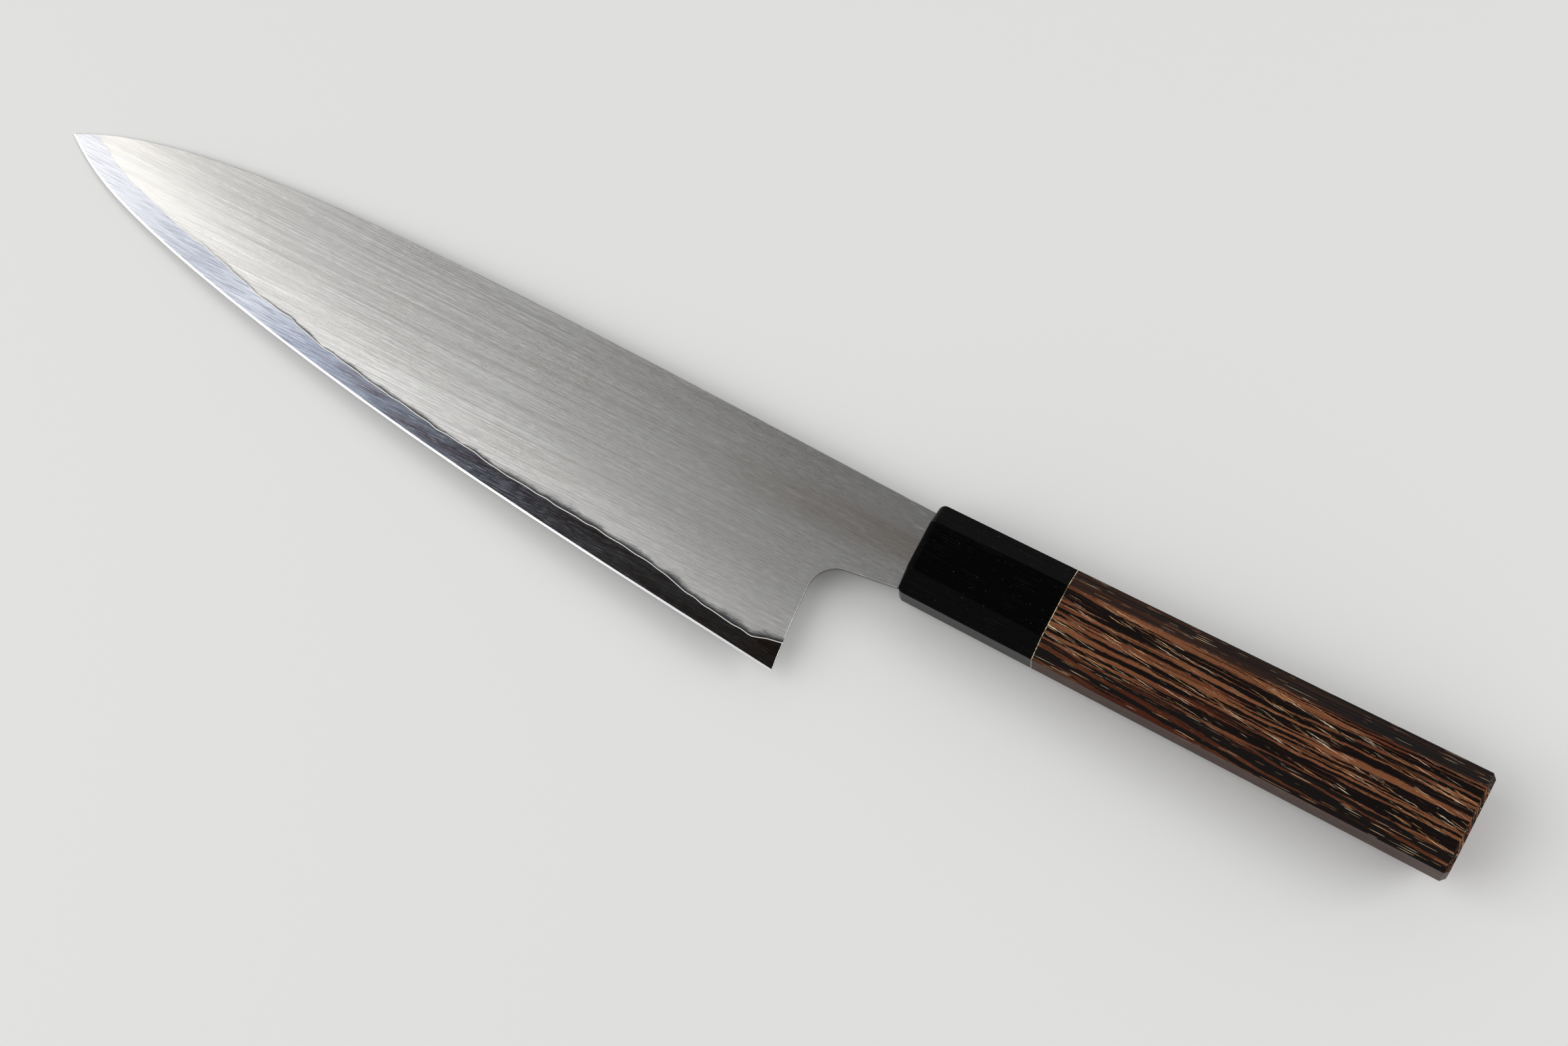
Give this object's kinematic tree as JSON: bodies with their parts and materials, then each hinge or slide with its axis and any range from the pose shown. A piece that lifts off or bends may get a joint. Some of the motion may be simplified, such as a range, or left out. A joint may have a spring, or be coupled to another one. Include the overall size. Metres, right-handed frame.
{
  "type": "chef knife",
  "caption": "Double-bevel chef knife with a three-layer laminated blade, a hidden tang and an octagonal wooden handle with a black horn ferrule.",
  "frame": {"origin": "middle of the ferrule's front face, where the blade's neck meets the handle, on the blade's middle plane", "axes": "+X along the handle to the butt, so the tip points along -X; +Y to the spine, so the cutting edge faces -Y; +Z out of the blade's left face, up when the knife lies on its right side"},
  "size_m": [0.324, 0.0476, 0.017],
  "materials": {
    "core_steel": "fine-polished high-carbon steel, streaky blue-grey",
    "cladding_steel": "satin, brushed along the blade",
    "horn": "polished black buffalo horn",
    "glue": "cream glue line",
    "handle_wood": "lacquered wenge, dark and brown stripes along the handle",
    "dowel_wood": "plain pale wood, unfinished",
    "bedding": "dark set resin"
  },
  "bodies": {
    "root": {"core_steel": "core_steel", "left_cladding": "cladding_steel", "right_cladding": "cladding_steel", "horn_ferrule": "horn", "joint_glue": "glue", "handle_body": "handle_wood", "handle_dowel": "dowel_wood", "tang_bedding": "bedding"}
  },
  "joints": []
}
